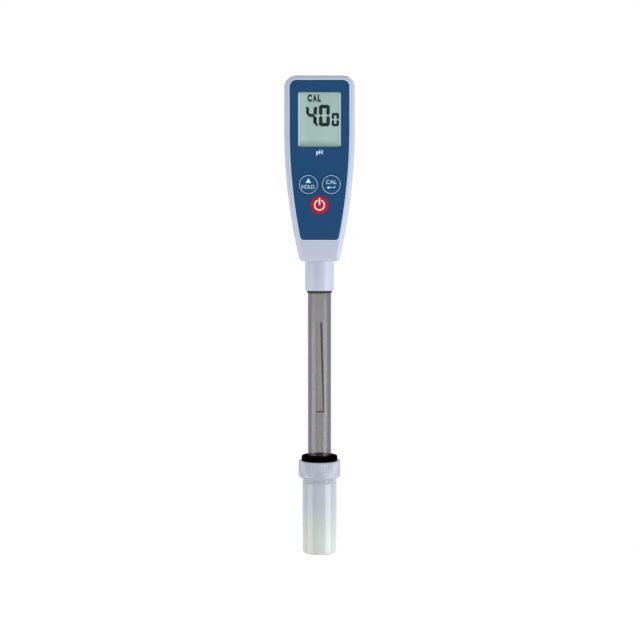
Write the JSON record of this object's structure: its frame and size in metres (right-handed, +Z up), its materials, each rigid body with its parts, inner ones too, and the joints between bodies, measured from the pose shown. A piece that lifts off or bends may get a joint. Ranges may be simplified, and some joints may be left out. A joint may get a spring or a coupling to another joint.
{
  "type": "ph meter",
  "caption": "Pen-type pH meter with display and keypad handle, slim electrode and a screw-capped storage bottle on the electrode's end.",
  "frame": {"origin": "centre of the bottle's flat base, on the electrode's axis", "axes": "+Z up along the electrode's axis, -Y out of the keypad, +X to the right seen from the front"},
  "size_m": [0.0362, 0.0248, 0.2476],
  "materials": {
    "case": "pale blue-grey moulded ABS, satin",
    "panel": "dark blue printed polycarbonate, semi-gloss",
    "red_key": "red printed polycarbonate, semi-gloss",
    "window": "clear acrylic, polished",
    "lcd": "grey-green reflective liquid crystal display",
    "inner_plastic": "white moulded plastic",
    "rubber": "black moulded rubber",
    "board": "green glass-epoxy board",
    "chip": "black moulded epoxy",
    "cell": "plain grey wrapped dry cell, whose mean density is near aluminium's",
    "steel": "nickel-plated steel",
    "tube": "smoke-grey translucent polycarbonate",
    "potting": "dark grey potting resin",
    "glass": "clear electrode glass",
    "ceramic": "white porous ceramic",
    "wire": "darkened silver wire",
    "bottle": "translucent natural polythene, satin",
    "cap": "pale grey polypropylene, finely ribbed"
  },
  "bodies": {
    "meter": {"front_shell": "case", "rear_shell": "case", "panel_overlay": "panel", "display_window": "window", "lcd_glass": "lcd", "lcd_frame": "inner_plastic", "connector_strip_upper": "rubber", "connector_strip_lower": "rubber", "main_board": "board", "controller_chip": "chip", "amplifier_chip": "chip", "hold_switch": "chip", "cal_switch": "chip", "power_switch": "chip", "battery_tray": "inner_plastic", "battery_cell_left": "cell", "battery_cell_right": "cell", "contact_plate_left": "steel", "contact_plate_right": "steel", "bridge_plate": "steel", "contact_spring_left": "steel", "contact_spring_right": "steel", "case_screw_left": "steel", "case_screw_right": "steel", "neck_collar": "case", "collar_seal": "rubber", "electrode_tube": "tube", "electrode_plug": "potting", "glass_stem": "glass", "junction_ring": "ceramic", "reference_wire": "wire", "electrode_lead": "rubber"},
    "hold_key": {"hold_key": "panel", "hold_plunger": "inner_plastic"},
    "cal_key": {"cal_key": "panel", "cal_plunger": "inner_plastic"},
    "power_key": {"power_key": "red_key", "power_plunger": "inner_plastic"},
    "battery_door": {"battery_door": "case"},
    "storage_bottle": {"storage_bottle": "bottle"},
    "seal_grommet": {"seal_grommet": "rubber"},
    "bottle_cap": {"bottle_cap": "cap"}
  },
  "joints": [
    {"name": "hold_press", "type": "slide", "parent": "meter", "child": "hold_key", "axis": [0, 1, 0], "range_m": [0, 0.0005], "stiffness_N_per_m": 800},
    {"name": "cal_press", "type": "slide", "parent": "meter", "child": "cal_key", "axis": [0, 1, 0], "range_m": [0, 0.0005], "stiffness_N_per_m": 800},
    {"name": "power_press", "type": "slide", "parent": "meter", "child": "power_key", "axis": [0, 1, 0], "range_m": [0, 0.0005], "stiffness_N_per_m": 800},
    {"name": "door_slide", "type": "slide", "parent": "meter", "child": "battery_door", "axis": [0, 0, 1], "range_m": [0, 0.062]},
    {"name": "bottle_pull", "type": "slide", "parent": "meter", "child": "storage_bottle", "axis": [0, 0, -1], "range_m": [0, 0.055]},
    {"name": "cap_lift", "type": "slide", "parent": "storage_bottle", "child": "seal_grommet", "axis": [0, 0, 1], "range_m": [0, 0.006]},
    {"name": "cap_turn", "type": "hinge", "parent": "seal_grommet", "child": "bottle_cap", "pos_m": [0, 0, 0.0447], "axis": [0, 0, 1], "range_deg": [0, 720]}
  ],
  "couplings": [
    {"joint": "cap_lift", "follows": "cap_turn", "m_per_rad": 0.000477}
  ]
}
